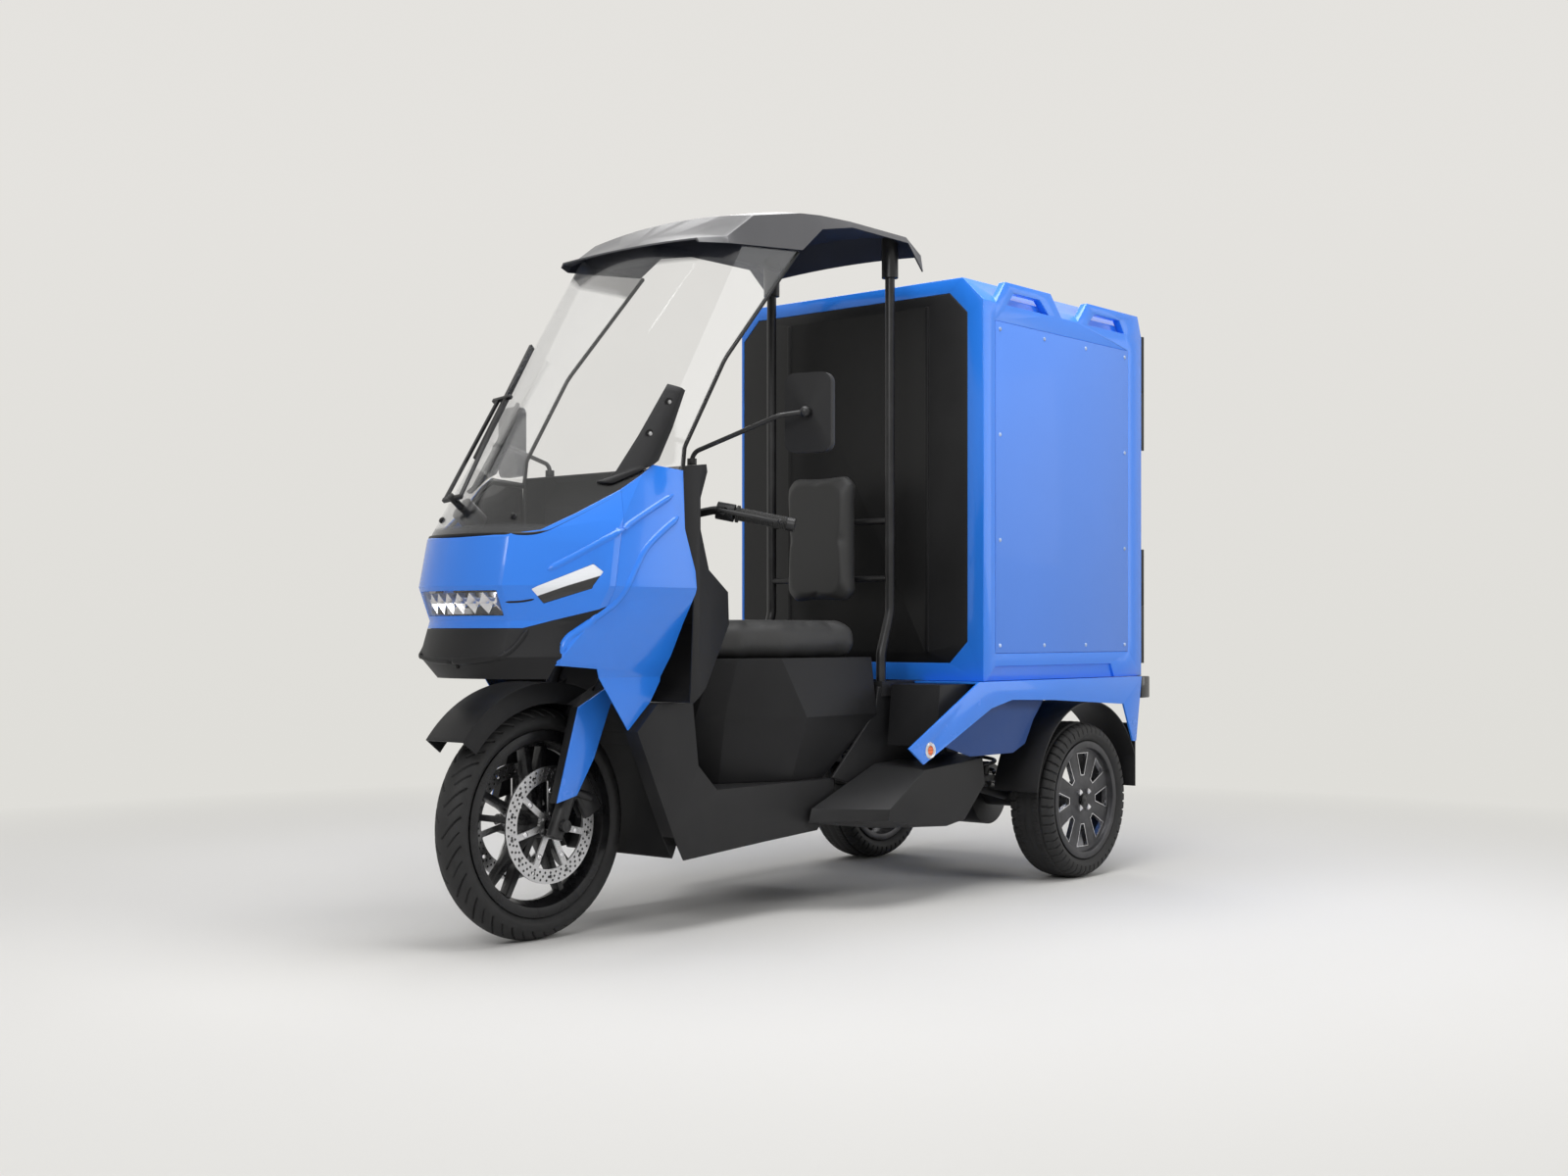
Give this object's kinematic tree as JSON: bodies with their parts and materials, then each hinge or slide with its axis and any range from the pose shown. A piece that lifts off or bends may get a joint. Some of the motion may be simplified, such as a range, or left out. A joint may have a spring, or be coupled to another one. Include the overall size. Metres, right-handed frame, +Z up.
{
  "type": "electric cargo tricycle",
  "caption": "Three-wheeled cargo scooter with a faired nose and windscreen, canopy roof, rider's seat and a closed rear cargo box with a hinged door.",
  "frame": {"origin": "on the ground under the middle of the vehicle's length and width", "axes": "+X to the vehicle's left, +Y backwards along its length, +Z up"},
  "size_m": [1.2226, 2.534, 1.9249],
  "materials": {
    "tyre_rubber": "matte moulded tyre rubber",
    "grip_rubber": "ribbed soft rubber",
    "black_alloy": "satin black coated metal",
    "bright_steel": "ground brake steel",
    "gunmetal_alloy": "dark cast alloy with machined edges",
    "blue_paint": "gloss azure blue paint",
    "charcoal_plastic": "grained charcoal moulded plastic",
    "roof_plastic": "satin dark grey moulding",
    "clear_lens": "clear moulded lens",
    "tinted_screen": "clear polycarbonate screen",
    "reflector_chrome": "bright metallised reflector",
    "mirror_glass": "mirror glass",
    "seat_vinyl": "black grained vinyl",
    "red_lens": "red moulded lens"
  },
  "bodies": {
    "chassis": {"main_frame": "black_alloy", "floor_pan": "charcoal_plastic", "seat_base": "charcoal_plastic", "battery_pack": "charcoal_plastic", "legshield": "charcoal_plastic", "nose_cowl": "blue_paint", "side_cowls": "blue_paint", "front_bumper": "charcoal_plastic", "headlamp_lens": "clear_lens", "headlamp_reflector": "reflector_chrome", "side_lamps": "clear_lens", "windscreen": "tinted_screen", "screen_brackets": "charcoal_plastic", "wiper_motor": "charcoal_plastic", "mirror_arms": "black_alloy", "backrest_cushion": "seat_vinyl", "canopy_posts": "black_alloy", "roof_shell": "roof_plastic", "cargo_box_shell": "blue_paint", "box_front_panel": "charcoal_plastic", "box_side_panels": "blue_paint", "hinge_fixed": "black_alloy", "rear_fenders": "blue_paint", "rear_inner_panels": "charcoal_plastic", "side_reflectors": "red_lens", "tail_lamps": "red_lens", "side_cases": "charcoal_plastic", "shock_bodies": "black_alloy", "shock_springs": "black_alloy"},
    "steering": {"fork_crown": "black_alloy", "handlebar": "black_alloy", "grip_left": "grip_rubber", "switch_housings": "charcoal_plastic", "dash_display": "charcoal_plastic"},
    "fork": {"fork_lowers": "black_alloy", "brake_calipers": "black_alloy", "fork_cover_panels": "blue_paint", "front_fender": "charcoal_plastic"},
    "front_wheel": {"front_tyre": "tyre_rubber", "front_rim": "black_alloy", "brake_discs": "bright_steel"},
    "throttle": {"throttle_grip": "grip_rubber"},
    "lever_left": {"brake_lever_left": "black_alloy"},
    "lever_right": {"brake_lever_right": "black_alloy"},
    "horn": {"horn_button": "charcoal_plastic"},
    "ready": {"ready_button": "charcoal_plastic"},
    "wiper": {"wiper_arm": "black_alloy"},
    "mirror_left": {"mirror_head_left": "charcoal_plastic", "mirror_glass_left": "mirror_glass"},
    "mirror_right": {"mirror_head_right": "charcoal_plastic", "mirror_glass_right": "mirror_glass"},
    "seat": {"seat_cushion": "seat_vinyl"},
    "door": {"cargo_door": "blue_paint", "hinge_moving": "black_alloy"},
    "handle": {"door_handle": "black_alloy"},
    "rear_axle": {"swing_arm": "black_alloy"},
    "rear_wheel_left": {"rear_tyre_left": "tyre_rubber", "rear_rim_left": "gunmetal_alloy"},
    "rear_wheel_right": {"rear_tyre_right": "tyre_rubber", "rear_rim_right": "gunmetal_alloy"}
  },
  "joints": [
    {"name": "steering_turn", "type": "hinge", "parent": "chassis", "child": "steering", "pos_m": [0, -0.94246, 0.27173], "axis": [0, 0.4067, 0.9135], "range_deg": [-20, 20]},
    {"name": "front_suspension", "type": "slide", "parent": "steering", "child": "fork", "axis": [0, 0.4067, 0.9135], "range_m": [0, 0.06], "stiffness_N_per_m": 16000, "springref_m": -0.12},
    {"name": "front_wheel_spin", "type": "hinge", "parent": "fork", "child": "front_wheel", "pos_m": [0, -0.979, 0.288], "axis": [1, 0, 0], "continuous": true},
    {"name": "throttle_twist", "type": "hinge", "parent": "steering", "child": "throttle", "pos_m": [-0.262, -0.51073, 1.06624], "axis": [-0.8184, 0.5401, -0.1964], "range_deg": [0, 60], "stiffness_Nm_per_rad": 0.5, "springref_deg": -17.19},
    {"name": "brake_left", "type": "hinge", "parent": "steering", "child": "lever_left", "pos_m": [0.26614, -0.56791, 1.07186], "axis": [0, 0, 1], "range_deg": [0, 8], "stiffness_Nm_per_rad": 3, "springref_deg": -8.59},
    {"name": "brake_right", "type": "hinge", "parent": "steering", "child": "lever_right", "pos_m": [-0.26614, -0.56791, 1.07186], "axis": [0, 0, -1], "range_deg": [0, 8], "stiffness_Nm_per_rad": 3, "springref_deg": -8.59},
    {"name": "horn_press", "type": "slide", "parent": "steering", "child": "horn", "axis": [0.205, -0.5936, -0.7782], "range_m": [0, 0.003], "stiffness_N_per_m": 600, "springref_m": -0.003},
    {"name": "ready_press", "type": "slide", "parent": "steering", "child": "ready", "axis": [-0.205, -0.5936, -0.7782], "range_m": [0, 0.003], "stiffness_N_per_m": 600, "springref_m": -0.003},
    {"name": "wiper_sweep", "type": "hinge", "parent": "chassis", "child": "wiper", "pos_m": [-0.062, -1.15762, 1.068], "axis": [0, 0.7925, -0.6099], "range_deg": [0, 60]},
    {"name": "mirror_left_turn", "type": "hinge", "parent": "chassis", "child": "mirror_left", "pos_m": [0.55509, -0.58747, 1.3004], "axis": [0, 0, 1], "range_deg": [-12, 12]},
    {"name": "mirror_right_turn", "type": "hinge", "parent": "chassis", "child": "mirror_right", "pos_m": [-0.55509, -0.58747, 1.3004], "axis": [0, 0, 1], "range_deg": [-12, 12]},
    {"name": "seat_lift", "type": "hinge", "parent": "chassis", "child": "seat", "pos_m": [0, -0.427, 0.6903], "axis": [1, 0, 0], "range_deg": [0, 60]},
    {"name": "door_swing", "type": "hinge", "parent": "chassis", "child": "door", "pos_m": [0.451, 1.247, 1.2], "axis": [0, 0, -1], "range_deg": [0, 105]},
    {"name": "handle_turn", "type": "hinge", "parent": "door", "child": "handle", "pos_m": [-0.356, 1.233, 1.18], "axis": [0, 1, 0], "range_deg": [0, 90]},
    {"name": "rear_suspension", "type": "hinge", "parent": "chassis", "child": "rear_axle", "pos_m": [0, 0.501, 0.33], "axis": [1, 0, 0], "range_deg": [0, 5.5], "stiffness_Nm_per_rad": 14000, "springref_deg": -9.17, "deforming": ["shock_springs"]},
    {"name": "rear_wheel_left_spin", "type": "hinge", "parent": "rear_axle", "child": "rear_wheel_left", "pos_m": [0.394, 0.897, 0.242], "axis": [1, 0, 0], "continuous": true},
    {"name": "rear_wheel_right_spin", "type": "hinge", "parent": "rear_axle", "child": "rear_wheel_right", "pos_m": [-0.394, 0.897, 0.242], "axis": [1, 0, 0], "continuous": true}
  ]
}
